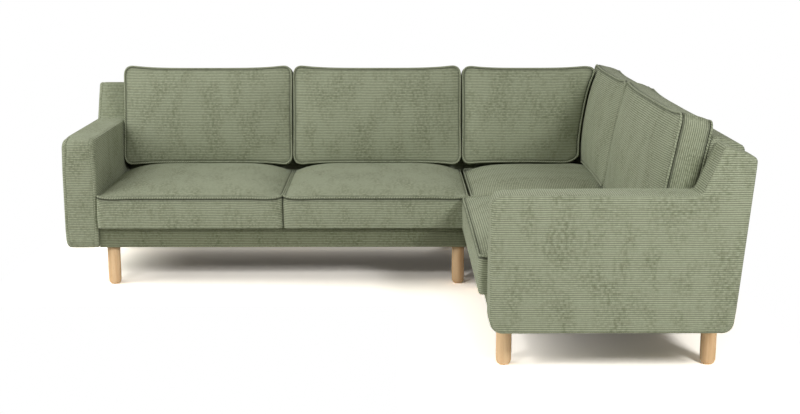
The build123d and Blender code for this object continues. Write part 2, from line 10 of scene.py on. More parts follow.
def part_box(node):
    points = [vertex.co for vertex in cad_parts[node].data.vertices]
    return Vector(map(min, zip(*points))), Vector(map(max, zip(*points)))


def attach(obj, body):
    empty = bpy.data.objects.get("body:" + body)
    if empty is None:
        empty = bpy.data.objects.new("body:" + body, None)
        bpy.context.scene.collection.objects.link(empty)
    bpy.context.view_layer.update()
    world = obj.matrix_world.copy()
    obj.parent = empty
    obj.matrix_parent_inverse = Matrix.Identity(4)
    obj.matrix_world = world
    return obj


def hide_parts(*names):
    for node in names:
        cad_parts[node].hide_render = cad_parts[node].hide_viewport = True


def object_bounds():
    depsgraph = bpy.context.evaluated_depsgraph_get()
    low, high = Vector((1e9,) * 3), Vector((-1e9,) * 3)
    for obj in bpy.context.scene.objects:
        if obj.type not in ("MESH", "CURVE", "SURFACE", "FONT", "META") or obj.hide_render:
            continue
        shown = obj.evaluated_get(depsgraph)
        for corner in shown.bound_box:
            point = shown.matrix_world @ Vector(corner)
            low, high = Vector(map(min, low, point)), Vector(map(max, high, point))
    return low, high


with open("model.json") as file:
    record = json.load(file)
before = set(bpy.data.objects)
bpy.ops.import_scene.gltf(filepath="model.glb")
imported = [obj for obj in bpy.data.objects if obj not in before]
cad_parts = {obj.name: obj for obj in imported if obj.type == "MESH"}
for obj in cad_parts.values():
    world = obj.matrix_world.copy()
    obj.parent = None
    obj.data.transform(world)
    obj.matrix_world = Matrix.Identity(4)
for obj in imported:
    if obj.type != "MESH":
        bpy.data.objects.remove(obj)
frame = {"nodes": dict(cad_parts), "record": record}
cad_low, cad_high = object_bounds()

scene = bpy.context.scene
UP = Vector((0, 0, 1))

# Sizes in metres, as in the part
ARM_WIDTH = 0.145
SEAT_WIDTH = 0.800
DEPTH = 0.880
BACK_FOOT = 0.655
UNDERSIDE = 0.172
DECK = 0.266
ARM_BOTTOM = 0.167
ARM_HEIGHT = 0.646
POST_HEIGHT = 0.815
POST_REAR = 0.772
ARM_TOP = 0.702
POST_LEAN = 0.070
REAR_LEAN = 0.052
BACK_HEIGHT = 0.826
BACK_FALL = 0.034
BACK_INSET = 0.008
BACK_TOP_RADIUS = 0.024
RAKE = math.radians(10.6)
BASE_RECESS = 0.015
BASE_PAD = 0.015
BASE_SKIN = 0.004
DECK_PAD = 0.012
RETURN_SEAT = 1.080
OVERHANG = 0.028
SEAT_BOXING = 0.134
SEAT_CROWN = 0.058
BACK_BOXING = 0.115
BACK_CUSHION = 0.478
BACK_CROWN = 0.042
BACK_SIT = 0.150
BACK_DIP = 0.018
BACK_LOWER = 0.015
LEG_RADIUS = 0.028
LEG_FOOT = 0.016
LEG_FOOT_RISE = 0.024
CUSHION_GAP = 0.002  # left at each side of a cushion
HAIR = 0.0003  # left between pieces that touch
SEAM_GAP = 0.0004  # left where two covers meet
ARM_GAP = 0.0005  # left between a back and an arm

left_arm_low, left_arm_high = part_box("left_arm_cover")
near_arm_low, near_arm_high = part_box("return_arm_cover")
base_low, base_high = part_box("main_base_cover")
arm_x, corner_y = left_arm_high.x, left_arm_low.y
corner_x, arm_y = near_arm_low.x, near_arm_high.y
joint_x = corner_x + BASE_RECESS


# Materials

RIB_PITCH = 0.0075
RIB_WANDER = 0.0030  # how far a rib strays from its line
DASH_CHANGE = 0.74  # how much the dashes change from one rib to the next
DASHES = 80.0  # changes of the dashes in a metre of rib
PATCH_SHAPE = (0.72, 1.20, 1.0)  # worn patches are longer across the ribs


def blank(name):
    """A new material, its empty tree and its output."""
    material = bpy.data.materials.new(name)
    material.use_nodes = True
    tree = material.node_tree
    tree.nodes.clear()
    return material, tree, tree.nodes.new("ShaderNodeOutputMaterial")


def shader(name):
    """A new material, its tree, and its one Principled shader."""
    material, tree, out = blank(name)
    surface = tree.nodes.new("ShaderNodeBsdfPrincipled")
    tree.links.new(surface.outputs[0], out.inputs[0])
    return material, tree, surface


def node(tree, kind, inputs=(), **settings):
    """A node with its settings; an input is a number, a colour or the socket that feeds it."""
    made = tree.nodes.new(kind)
    for key, value in settings.items():
        setattr(made, key, value)
    for key, value in dict(inputs).items():
        if isinstance(value, bpy.types.NodeSocket):
            tree.links.new(value, made.inputs[key])
        else:
            made.inputs[key].default_value = value
    return made


def maths(tree, operation, first, second=0.0):
    """The result of one sum on two numbers or sockets."""
    return node(tree, "ShaderNodeMath", {0: first, 1: second}, operation=operation).outputs[0]


def mixed(tree, factor, first, second, blend="MIX"):
    """Two colours mixed."""
    made = node(tree, "ShaderNodeMix", {0: factor, 6: first, 7: second}, data_type="RGBA", blend_type=blend)
    return made.outputs[2]


def ramp(tree, value, stops):
    """A colour ramp through stops of place and grey level."""
    made = node(tree, "ShaderNodeValToRGB", {0: value})
    elements = made.color_ramp.elements
    while len(elements) < len(stops):
        elements.new(0.5)
    for element, (place, level) in zip(elements, stops):
        element.position = place
        element.color = (level, level, level, 1)
    return made.outputs[0]


def straight_rays(tree):
    """1 on rays from the camera, also by way of gloss or glass, and 0 on the rest."""
    rays = node(tree, "ShaderNodeLightPath").outputs
    passed_on = maths(tree, "MAXIMUM", rays["Is Glossy Ray"], rays["Is Transmission Ray"])
    return maths(tree, "MAXIMUM", rays["Is Camera Ray"], passed_on)


def colour(red, green, blue):
    """A colour written as 0 to 255 values on screen, as the shader wants it."""
    def linear(value):
        value = value / 255
        return value / 12.92 if value <= 0.04045 else ((value + 0.055) / 1.055) ** 2.4
    return (linear(red), linear(green), linear(blue), 1)


def corduroy(name, pale, deep):
    """Ribbed pile: rounded wales along the cloth's own direction, crushed dashes on them, painted shade
    beside the seams.
    """
    material, tree, surface = shader(name)
    cloth = node(tree, "ShaderNodeUVMap", uv_map="cloth").outputs[0]
    part = node(tree, "ShaderNodeSeparateXYZ", {0: cloth})
    across, along = part.outputs[0], part.outputs[1]
    drift = node(tree, "ShaderNodeTexNoise", {"Vector": cloth, "Scale": 14.0, "Detail": 2.0})
    wander = maths(tree, "MULTIPLY", drift.outputs[0], RIB_WANDER)
    count = maths(tree, "DIVIDE", maths(tree, "ADD", across, wander), RIB_PITCH)
    wave = maths(tree, "SINE", maths(tree, "MULTIPLY", count, math.pi))
    wale = maths(tree, "POWER", maths(tree, "ABSOLUTE", wave), 0.60)

    own_place = node(tree, "ShaderNodeCombineXYZ", {
        0: maths(tree, "MULTIPLY", maths(tree, "FLOOR", count), DASH_CHANGE),
        1: maths(tree, "MULTIPLY", along, DASHES)})
    own = node(tree, "ShaderNodeTexNoise", {"Vector": own_place.outputs[0], "Scale": 1.0, "Detail": 2.0})
    dashes = ramp(tree, own.outputs[0], ((0.36, 0.0), (0.66, 1.0)))
    tall = node(tree, "ShaderNodeMapping", {"Vector": cloth, "Scale": PATCH_SHAPE})
    patch = node(tree, "ShaderNodeTexNoise", {
        "Vector": tall.outputs[0], "Scale": 9.0, "Detail": 3.0, "Roughness": 0.6})
    worn = ramp(tree, patch.outputs[0], ((0.42, 0.25), (0.62, 1.0)))
    crushed = maths(tree, "MULTIPLY", dashes, worn)
    pile = node(tree, "ShaderNodeTexNoise", {"Vector": cloth, "Scale": 320.0, "Detail": 2.0})

    ground = mixed(tree, crushed, pale, deep)
    streak = ramp(tree, pile.outputs[0], ((0.30, 0.86), (0.70, 1.0)))
    pile_colour = mixed(tree, 1.0, ground, streak, "MULTIPLY")
    # Painted shade in the grooves between the wales: the colour falls to 0.19 of itself at a groove's bottom.
    groove_painted_shade = ramp(tree, wale, ((0.12, 0.19), (0.82, 1.0)))
    ribbed = mixed(tree, 1.0, pile_colour, groove_painted_shade, "MULTIPLY")
    # Painted shade beside the seams: the seam attribute darkens the colour, down to 0.14 of itself on a
    # seam's line.
    seam = node(tree, "ShaderNodeAttribute", attribute_name="seam")
    shaded = ramp(tree, seam.outputs["Fac"], ((0.0, 1.0), (0.35, 0.80), (0.70, 0.30), (1.0, 0.14)))
    tree.links.new(mixed(tree, 1.0, ribbed, shaded, "MULTIPLY"), surface.inputs["Base Color"])

    height = maths(tree, "ADD", wale, maths(tree, "MULTIPLY", pile.outputs[0], 0.30))
    bump = node(tree, "ShaderNodeBump", {"Strength": 0.75, "Distance": 0.0018, "Height": height})
    tree.links.new(bump.outputs[0], surface.inputs["Normal"])
    rough = ramp(tree, pile.outputs[0], ((0.2, 0.86), (0.8, 1.0)))
    tree.links.new(rough, surface.inputs["Roughness"])
    surface.inputs["Specular IOR Level"].default_value = 0.12
    surface.inputs["Sheen Weight"].default_value = 0.16
    surface.inputs["Sheen Roughness"].default_value = 0.45
    surface.inputs["Sheen Tint"].default_value = (0.80, 0.86, 0.70, 1)
    return material


def timber(name, pale, deep, coarse, shine):
    """Wood with long grain up the object's Z, fine pores and slow colour drift."""
    material, tree, surface = shader(name)
    place = node(tree, "ShaderNodeTexCoord").outputs["Object"]
    grain_place = node(tree, "ShaderNodeMapping", {"Vector": place, "Scale": (coarse, coarse, coarse / 14)})
    grain = node(tree, "ShaderNodeTexNoise", {
        "Vector": grain_place.outputs[0], "Scale": 1.0, "Detail": 6.0, "Distortion": 0.7})
    pore_place = node(tree, "ShaderNodeMapping", {"Vector": place, "Scale": (1500.0, 1500.0, 60.0)})
    pore = node(tree, "ShaderNodeTexNoise", {"Vector": pore_place.outputs[0], "Scale": 1.0, "Detail": 2.0})
    figure = ramp(tree, grain.outputs[0], ((0.34, 0.0), (0.66, 1.0)))
    pores = ramp(tree, pore.outputs[0], ((0.30, 0.86), (0.46, 1.0)))
    tone = mixed(tree, 1.0, mixed(tree, figure, pale, deep), pores, "MULTIPLY")
    tree.links.new(tone, surface.inputs["Base Color"])
    rough = ramp(tree, grain.outputs[0], ((0.2, shine), (0.8, shine + 0.14)))
    tree.links.new(rough, surface.inputs["Roughness"])
    bump = node(tree, "ShaderNodeBump", {"Strength": 0.18, "Distance": 0.0004, "Height": pore.outputs[0]})
    tree.links.new(bump.outputs[0], surface.inputs["Normal"])
    return material


def woven(name, pale, deep, pitch):
    """Plain woven cloth, for linings and webbing."""
    material, tree, surface = shader(name)
    place = node(tree, "ShaderNodeTexCoord").outputs["Object"]
    part = node(tree, "ShaderNodeSeparateXYZ", {0: place})
    warp = maths(tree, "SINE", maths(tree, "MULTIPLY", part.outputs[0], 2 * math.pi / pitch))
    weft = maths(tree, "SINE", maths(tree, "MULTIPLY", part.outputs[1], 2 * math.pi / pitch))
    weave = maths(tree, "MULTIPLY", warp, weft)
    fibre = node(tree, "ShaderNodeTexNoise", {"Vector": place, "Scale": 260.0, "Detail": 3.0})
    level = maths(tree, "ADD", maths(tree, "MULTIPLY", weave, 0.25), fibre.outputs[0])
    tree.links.new(mixed(tree, level, deep, pale), surface.inputs["Base Color"])
    bump = node(tree, "ShaderNodeBump", {"Strength": 0.4, "Distance": 0.0005, "Height": level})
    tree.links.new(bump.outputs[0], surface.inputs["Normal"])
    surface.inputs["Roughness"].default_value = 0.95
    return material


def plated_steel(name):
    """Zinc-plated steel, faintly brushed and spangled."""
    material, tree, surface = shader(name)
    place = node(tree, "ShaderNodeTexCoord").outputs["Object"]
    brushed = node(tree, "ShaderNodeMapping", {"Vector": place, "Scale": (40.0, 900.0, 900.0)})
    grain = node(tree, "ShaderNodeTexNoise", {"Vector": brushed.outputs[0], "Scale": 1.0, "Detail": 3.0})
    spangle = node(tree, "ShaderNodeTexVoronoi", {"Vector": place, "Scale": 120.0})
    tone = mixed(tree, spangle.outputs["Color"], (0.50, 0.50, 0.52, 1), (0.66, 0.66, 0.66, 1))
    tree.links.new(tone, surface.inputs["Base Color"])
    rough = ramp(tree, grain.outputs[0], ((0.2, 0.28), (0.8, 0.46)))
    tree.links.new(rough, surface.inputs["Roughness"])
    surface.inputs["Metallic"].default_value = 1.0
    return material


sage = corduroy("sage_corduroy", colour(175, 182, 156), colour(142, 149, 122))
# A darker copy of the sage corduroy for the base covers: painted shade, as under the seat cushions' overhang.
sage_apron = corduroy("sage_apron", colour(145, 151, 124), colour(118, 124, 97))
beech = timber("leg_wood", colour(248, 212, 165), colour(232, 189, 140), 46.0, 0.38)
softwood = timber("frame_wood", colour(222, 194, 150), colour(186, 150, 104), 30.0, 0.62)
black_lining = woven("black_lining", colour(46, 46, 46), colour(20, 20, 20), 0.0022)
elastic = woven("webbing", colour(78, 74, 70), colour(34, 32, 32), 0.0040)
deck_cloth = woven("deck_cloth", colour(92, 96, 82), colour(60, 64, 54), 0.0018)
zinc = plated_steel("zinc_steel")


# Sewn meshes

CUTS = 31  # places in the cloth that pieces are cut from
CUT_STEP = 0.27
CUT_SLANT = 1.7
SEWN = 2e-5  # points closer than this become one
PIPING = 0.0042
PIPING_SIDES = 8
PIPING_BIAS = 0.7  # the piping's ribs run round it at a slant
EASE = 0.62  # how much closer the points lie towards the ends of a panel


class Sewing:
    """Panels gathered as faces with their cloth coordinates, sewn together where their edges meet."""

    def __init__(self):
        self.points = []
        self.faces = []
        self.cloth = []
        self.kinds = []

    def grid(self, points, cloth, kind=0):
        """A panel of quads from rows of points; cloth holds across-the-rib and along-the-rib places."""
        first = len(self.points)
        rows, columns = len(points), len(points[0])
        for row in points:
            self.points.extend(Vector(point) for point in row)
        for i in range(rows - 1):
            for j in range(columns - 1):
                corners = ((i, j), (i, j + 1), (i + 1, j + 1), (i + 1, j))
                self.faces.append([first + a * columns + b for a, b in corners])
                self.cloth.append([cloth[a][b] for a, b in corners])
                self.kinds.append(kind)

    def fan(self, rim, middle, rim_cloth, middle_cloth):
        """Triangles from a closed rim to a middle point."""
        first = len(self.points)
        self.points.extend(Vector(point) for point in rim)
        self.points.append(Vector(middle))
        count = len(rim)
        for i in range(count):
            j = (i + 1) % count
            self.faces.append([first + i, first + j, first + count])
            self.cloth.append([rim_cloth[i], rim_cloth[j], middle_cloth])
            self.kinds.append(0)

    def cap(self, rim, cloth):
        """One flat panel inside a rim."""
        first = len(self.points)
        self.points.extend(Vector(point) for point in rim)
        self.faces.append(list(range(first, first + len(rim))))
        self.cloth.append(cloth)
        self.kinds.append(0)

    def make(self, name, *materials):
        """The sewn object, with its panels facing out."""
        mesh = bpy.data.meshes.new(name)
        mesh.from_pydata(self.points, [], self.faces)
        layer = mesh.uv_layers.new(name="cloth")
        cut = sum(map(ord, name)) % CUTS * CUT_STEP
        for face, places, kind in zip(mesh.polygons, self.cloth, self.kinds):
            face.material_index = kind
            face.use_smooth = True
            for loop, place in zip(face.loop_indices, places):
                layer.data[loop].uv = (place[0] + cut, place[1] + CUT_SLANT * cut)
        work = bmesh.new()
        work.from_mesh(mesh)
        bmesh.ops.remove_doubles(work, verts=work.verts, dist=SEWN)
        bmesh.ops.recalc_face_normals(work, faces=work.faces)
        work.to_mesh(mesh)
        work.free()
        for material in materials:
            mesh.materials.append(material)
        made = bpy.data.objects.new(name, mesh)
        scene.collection.objects.link(made)
        return made


def points_of(mesh):
    """A mesh's points as an array."""
    found = np.zeros(len(mesh.vertices) * 3)
    mesh.vertices.foreach_get("co", found)
    return found.reshape(-1, 3)


def headings(loop):
    """Directions along a closed loop of points."""
    heading = np.roll(loop, -1, 0) - np.roll(loop, 1, 0)
    return heading / np.linalg.norm(heading, axis=1)[:, None]


def outward_from(loop):
    """Outward directions round a closed flat loop."""
    heading = headings(loop)
    return np.stack((heading[:, 1], -heading[:, 0]), 1)


def walked_round(loop):
    """Distances walked round a closed loop, from 0 to its whole length."""
    steps = np.linalg.norm(np.roll(loop, -1, 0) - loop, axis=1)
    return np.concatenate(([0], np.cumsum(steps)))


def tube(name, loop, radius, material):
    """Piping: a closed round cord along a loop of points."""
    points = np.array([tuple(point) for point in loop])
    for _ in range(2):
        points = (np.roll(points, 1, 0) + 2 * points + np.roll(points, -1, 0)) / 4
    heading = headings(points)
    side = np.cross(heading, points - points.mean(0))
    side /= np.linalg.norm(side, axis=1)[:, None]
    out = np.cross(side, heading)
    walk = walked_round(points)
    rows, cloth = [], []
    for k in range(PIPING_SIDES + 1):
        turn = 2 * math.pi * k / PIPING_SIDES
        ring = points + radius * (math.cos(turn) * out + math.sin(turn) * side)
        rows.append([tuple(point) for point in np.vstack((ring, ring[:1]))])
        cloth.append([(place * PIPING_BIAS + radius * turn * PIPING_BIAS, radius * turn) for place in walk])
    sewing = Sewing()
    sewing.grid(rows, cloth)
    return sewing.make(name, material)


def eased(count):
    """Places from 0 to 1, closer together towards both ends."""
    places = np.linspace(0, 1, count + 1)
    return places - EASE * np.sin(2 * math.pi * places) / (2 * math.pi)


def rounded_panel(across, along, length, height, radius, bow):
    """A grid over a rectangle with rounded corners, each point then moved by bow.

    Returns places [i][j] with i along the length and j up the height."""
    grid = np.zeros((len(along), len(across), 2))
    for i, a in enumerate(along):
        for j, b in enumerate(across):
            s, h = a * length, b * height
            u = 1 - min(s, length - s) / radius
            v = 1 - min(h, height - h) / radius
            if u > 0 and v > 0:
                s = radius * (1 - u * math.sqrt(1 - v * v / 2))
                h = radius * (1 - v * math.sqrt(1 - u * u / 2))
                s = s if a < 0.5 else length - s
                h = h if b < 0.5 else height - h
            grid[i, j] = np.array((s, h)) + bow(a, b)
    return grid


def smooth(t):
    """Rises from 0 to 1 with level ends."""
    t = np.clip(t, 0, 1)
    return t * t * (3 - 2 * t)


def within(t):
    """A share, kept from 0 to 1."""
    return min(1, max(0, t))


def dome(t, power):
    """Rises from 0 at both ends to 1 in the middle, flat there."""
    return 1 - abs(2 * t - 1) ** power


# Cushions

PANEL_STEP = 0.0165  # mean distance of a panel's points
BOXING_ROWS = 9
BOXING_SWELL = 0.003
START = 0.72  # share of a cushion's crown that is there before the air goes in
DRAWN = 0.955  # share of the drawn crown that is left at least
FRAMES = 20  # length of the cloth simulation
CAP = 0.026  # how far the air may move a point
WAVE = 0.0024  # depth of the slow waves in a cushion's face
CREASE = 0.0032  # half the depth of the creases in a cushion's boxing
PIPING_IN = 0.0026  # the piping lies this far inside its seam
PIPING_UP = 0.0004  # and this far above it
SEAM_IN = 0.0060  # how far a seam is drawn in below its piping
SEAM_DOWN = 0.0040
SEAM_SHADE = 0.0185  # reach of the painted shade beside a seam
FALL_FROM = 0.8  # height, as a share, from which the rear of a back cushion falls


class Cushion:
    """A boxed cushion in its own directions: s along it, h across its panels, d from back to face."""

    def __init__(self, name, body, cad_node, place, size, boxing, crown, inset, radius, bow,
                 fullness, lift, limits, sag, rear_fall=0.0):
        self.name, self.body, self.cad_node = name, body, cad_node
        self.seed = sum(map(ord, name))
        self.place, self.size = place, size
        self.boxing, self.crown, self.inset, self.radius = boxing, crown, inset, radius
        self.bow, self.fullness, self.lift = bow, fullness, lift
        self.limits, self.sag, self.rear_fall = limits, sag, rear_fall
        self.build()

    def build(self):
        """Sews the face, back and boxing together in the cushion's own directions."""
        length, height = self.size
        along = eased(round(length / PANEL_STEP))
        across = eased(round(height / PANEL_STEP))
        plan = rounded_panel(across, along, length, height, self.radius, self.bow)
        start = self.crown * START
        face, back, panel_cloth = [], [], []
        for i, a in enumerate(along):
            face_row, back_row, cloth_row = [], [], []
            for j, b in enumerate(across):
                s, h = plan[i, j]
                full = self.fullness(a, b)
                face_row.append((s, h, self.boxing + start * full + self.lift(a, b)))
                back_row.append((s, h - self.fall(b), self.inset * (1 - full)))
                cloth_row.append((h, s))
            face.append(face_row)
            back.append(back_row)
            panel_cloth.append(cloth_row)
        sewing = Sewing()
        sewing.grid(face, panel_cloth)
        sewing.grid(back, panel_cloth)
        last_i, last_j = len(along) - 1, len(across) - 1
        rim = [(i, 0) for i in range(last_i)] + [(last_i, j) for j in range(last_j)]
        rim += [(i, last_j) for i in range(last_i, 0, -1)] + [(0, j) for j in range(last_j, 0, -1)]
        ring = np.array([plan[i, j] for i, j in rim])
        raised = np.array([self.lift(along[i], across[j]) for i, j in rim])
        fallen = np.array([(0, self.fall(across[j])) for _, j in rim])
        self.outward = outward_from(ring)
        walk = walked_round(ring)
        rows, boxing_cloth = [], []
        for k in range(BOXING_ROWS + 1):
            t = (1 - math.cos(math.pi * k / BOXING_ROWS)) / 2
            depth = self.inset + (self.boxing + raised - self.inset) * t
            swell = BOXING_SWELL * math.sin(math.pi * t)
            edge = ring + self.outward * swell - fallen * (1 - t)
            row = [(*edge[i], depth[i]) for i in range(len(ring))]
            rows.append(row + row[:1])
            boxing_cloth.append([(self.boxing * t, place) for place in walk])
        sewing.grid(rows, boxing_cloth)
        seams = [[(*ring[i], self.boxing + raised[i]) for i in range(len(ring))],
                 [(*(ring[i] - fallen[i]), self.inset) for i in range(len(ring))]]
        self.object = sewing.make(self.name, sage)
        self.rest = points_of(self.object.data)
        found = {tuple(np.round(point, 4)): i for i, point in enumerate(self.rest)}
        self.seams = [[found[tuple(np.round(point, 4))] for point in seam] for seam in seams]

    def fall(self, b):
        """How far the rear edge lies below the front one, towards the top of a back cushion."""
        return self.rear_fall * max(0.0, (b - FALL_FROM) / (1 - FALL_FROM)) ** 2

    def hold(self):
        """Adds the cloth that the air inside will fill; the back panel and the seams are held."""
        held = self.object.vertex_groups.new(name="held")
        low = np.nonzero(self.rest[:, 2] < self.inset + 1e-4)[0]
        held.add([int(i) for i in low] + self.seams[0], 1.0, "REPLACE")
        cloth = self.object.modifiers.new("cloth", "CLOTH")
        cloth.point_cache.frame_start = 1
        cloth.point_cache.frame_end = FRAMES
        settings = cloth.settings
        settings.quality = 6
        settings.mass = 0.35
        settings.tension_stiffness = 26
        settings.compression_stiffness = 26
        settings.shear_stiffness = 12
        settings.bending_stiffness = 2.5
        settings.use_pressure = True
        settings.uniform_pressure_force = 4
        settings.effector_weights.gravity = 0
        settings.vertex_group_mass = "held"
        return cloth

    def settle(self, filled):
        """Takes the filled shape: movement capped, the crown at its full height, neighbours left clear.

        Returns the loops that the piping follows."""
        points = self.rest.copy()
        if filled is not None:
            step = filled - self.rest
            reach = np.linalg.norm(step, axis=1)
            points += step * np.minimum(1, CAP / np.maximum(reach, 1e-9))[:, None]
        face = self.rest[:, 2] > self.boxing + 0.0005
        self.crown_face(points, face)
        self.crease_boxing(points, face)
        (near_s, far_s), (near_h, far_h) = self.limits
        points[:, 1] = np.maximum(points[:, 1], self.rest[:, 1] - self.sag)
        points[:, 0] = np.clip(points[:, 0], near_s, far_s)
        points[:, 1] = np.clip(points[:, 1], near_h, far_h)
        points[:, 2] = np.maximum(points[:, 2], 0.0)
        return self.draw_seams(points)

    def crown_face(self, points, face):
        """Brings the face to its full height and gives it slow waves."""
        length, height = self.size
        tallest = (points[face, 2] - self.boxing).max()
        points[face, 2] = self.boxing + (points[face, 2] - self.boxing) * (self.crown / tallest)
        drawn = self.boxing + (self.rest[face, 2] - self.boxing) * (DRAWN / START)
        points[face, 2] = np.maximum(points[face, 2], drawn)
        for i in np.nonzero(face)[0]:
            s, h = points[i, 0], points[i, 1]
            share = dome(within(s / length), 4) * dome(within(h / height), 4)
            points[i, 2] += WAVE * noise.noise(Vector((s * 9, h * 7, self.seed))) * share

    def crease_boxing(self, points, face):
        """Puts fine and slow creases into the boxing, away from its seams."""
        low, high = self.inset + 0.004, self.boxing - 0.006
        band = (self.rest[:, 2] > low) & (self.rest[:, 2] < high) & ~face
        middle = np.array(self.size) / 2
        for i in np.nonzero(band)[0]:
            s, h, d = points[i]
            t = (self.rest[i, 2] - self.inset) / (self.boxing - self.inset)
            crease = noise.noise(Vector((s * 22 + self.seed, h * 22, d * 34)))
            crease += noise.noise(Vector((s * 7, h * 7 + self.seed, d * 16)))
            away = np.array((s, h)) - middle
            side = np.argmin(middle - np.abs(away))
            points[i, side] += math.copysign(CREASE, away[side]) * crease * dome(within(t), 2)

    def draw_seams(self, points):
        """Draws the seams in, paints shade beside them and puts the mesh in its place; gives the piping's
        loops.
        """
        # Painted shade beside each seam: 1 on the seam, falling to 0 at SEAM_SHADE away, kept in the seam
        # attribute.
        painted_seam_shade = np.zeros(len(points))
        loops = []
        for number, (seam, side) in enumerate(zip(self.seams, (1, -1))):
            if number and not self.inset:
                continue
            cord = points[seam]
            cord[:, :2] -= self.outward * PIPING_IN
            cord[:, 2] += side * PIPING_UP
            loops.append([self.place(*point) for point in cord])
            for spot in points[seam]:
                near_by = np.linalg.norm(points - spot, axis=1)
                painted_seam_shade = np.maximum(painted_seam_shade, 1 - near_by / SEAM_SHADE)
            points[seam, :2] -= self.outward * SEAM_IN
            points[seam, 2] -= side * SEAM_DOWN
        placed = np.array([tuple(self.place(*point)) for point in points])
        self.object.data.vertices.foreach_set("co", placed.ravel())
        shade = self.object.data.attributes.new("seam", "FLOAT", "POINT")
        shade.data.foreach_set("value", painted_seam_shade)
        self.object.data.update()
        return loops


SLACK = 0.0008  # how far a cushion's ends may swell
SEAT_CORNER = 0.020  # corner radius of a seat's panels
SEAT_SAG = 0.014  # how far a seat's front may swell
CORNER_UP = 0.0040  # the front seam of a seat rises at its corners
CORNER_DOWN = 0.0024  # and dips beside them
CORNER_ZONE = 0.12  # over this share of its depth
BACK_CORNER = 0.050  # corner radius of a back cushion's panels
BACK_REAR = 0.007  # rounding of a back cushion's rear
BACK_DRAW = 0.0030  # how far its sides are drawn in
BACK_SAG = 0.002
BACK_RISE = 0.006
REAR_FALL = 0.009
CORNER_CLEAR = 0.047  # room for the crown beside the corner cushion
CORNER_SEAT_GAP = 0.011
FAR_CLEAR = 0.005
CORNER_REACH = 0.049  # how far the corner cushion's end reaches where nothing is in its way
CORNER_FILL = 0.040  # and at most


def seat_place(corner, along, inward):
    """Places a seat cushion's own directions on the deck."""
    corner, along, inward = Vector(corner), Vector(along), Vector(inward)
    return lambda s, h, d: corner + along * s + inward * h + UP * d


def back_place(foot, along, toward, length, lean, fill):
    """Places a back cushion's own directions on the raked back; its far end may lean, and fill its corner."""
    foot, along, toward = Vector(foot), Vector(along), Vector(toward)
    out = toward * math.cos(RAKE) + UP * math.sin(RAKE)
    rise = UP * math.cos(RAKE) - toward * math.sin(RAKE)

    def at(s, h, d):
        slant = along * (lean * s / length)
        climb = rise + slant * math.cos(RAKE)
        face = out + slant * math.sin(RAKE)
        face = face - climb * (face.dot(climb) / climb.dot(climb))
        reach = max(0.0, s / length) ** 9 * fill(h, d)
        return foot + along * (s + reach) + climb * h + face.normalized() * d
    return at


def make_seat(name, body, cad_node, corner, along, inward, size):
    """A seat cushion: flat below, full above and towards the back, its front seam drawn up at the corners."""
    length, depth = size

    def fullness(a, b):
        return dome(a, 5.2) * dome(b, 4.2 if b < 0.5 else 8.0)

    def lift(a, b):
        end = min(a, 1 - a) * length
        pulled = CORNER_UP * math.exp(-(end / 0.020) ** 2)
        pulled -= CORNER_DOWN * math.exp(-((end - 0.075) / 0.040) ** 2)
        return pulled * max(0.0, 1 - b / CORNER_ZONE)

    place = seat_place(corner, along, inward)
    limits = ((-SLACK, length + SLACK), (-SEAT_SAG, depth))
    return Cushion(name, body, cad_node, place, size, SEAT_BOXING, SEAT_CROWN, 0.0, SEAT_CORNER,
                   lambda a, b: np.zeros(2), fullness, lift, limits, SEAT_SAG)


def make_back(name, body, cad_node, foot, along, toward, length, lean=0.0, lifted=0.0,
              fill=lambda h, d: 0.0):
    """A back cushion: top seam dipped, lower seam arched, sides drawn in."""
    def bow(a, b):
        arch = BACK_LOWER * max(dome(a, 4.5), lifted * max(0.0, 2 * a - 1))
        rise = arch * (1 - b) - BACK_DIP * dome(a, 4.0) * b
        draw = BACK_DRAW * dome(b, 2.0) * (1 - 2 * a)
        return np.array((draw, rise))

    def fullness(a, b):
        return dome(a, 3.4) * dome(b, 2.6)

    place = back_place(foot, along, toward, length, lean, fill)
    size = (length, BACK_CUSHION)
    limits = ((-SLACK, length + SLACK), (0.0, BACK_CUSHION + BACK_RISE))
    return Cushion(name, body, cad_node, place, size, BACK_BOXING, BACK_CROWN, BACK_REAR, BACK_CORNER,
                   bow, fullness, lambda a, b: 0.0, limits, BACK_SAG, REAR_FALL)


seat_level = DECK + HAIR
cushion_width = SEAT_WIDTH - 2 * CUSHION_GAP
seat_depth = BACK_FOOT + OVERHANG - CUSHION_GAP
corner_depth = BACK_FOOT - CUSHION_GAP
split_y = corner_y - OVERHANG - CUSHION_GAP
back_level = DECK + BACK_SIT
rest_line = BACK_FOOT + BACK_SIT * math.tan(RAKE) - HAIR
seam_line = rest_line - BACK_BOXING / math.cos(RAKE)
corner_length = seam_line - CORNER_CLEAR - CUSHION_GAP
far_length = corner_y + rest_line - split_y - FAR_CLEAR
near_length = split_y - arm_y - 2 * CUSHION_GAP
left_x = arm_x + CUSHION_GAP
middle_x = arm_x + SEAT_WIDTH + CUSHION_GAP
right, left, near, far = (1, 0, 0), (-1, 0, 0), (0, -1, 0), (0, 1, 0)


def beside_far_cushion(h, d):
    """How far the corner cushion's end reaches to lie along the face of the cushion beside it."""
    beside = BACK_CROWN * dome(1 - min(1.0, d / far_length), 4.5) * dome(within(h / BACK_CUSHION), 3.4)
    return min(CORNER_FILL, max(0.0, CORNER_REACH - beside))


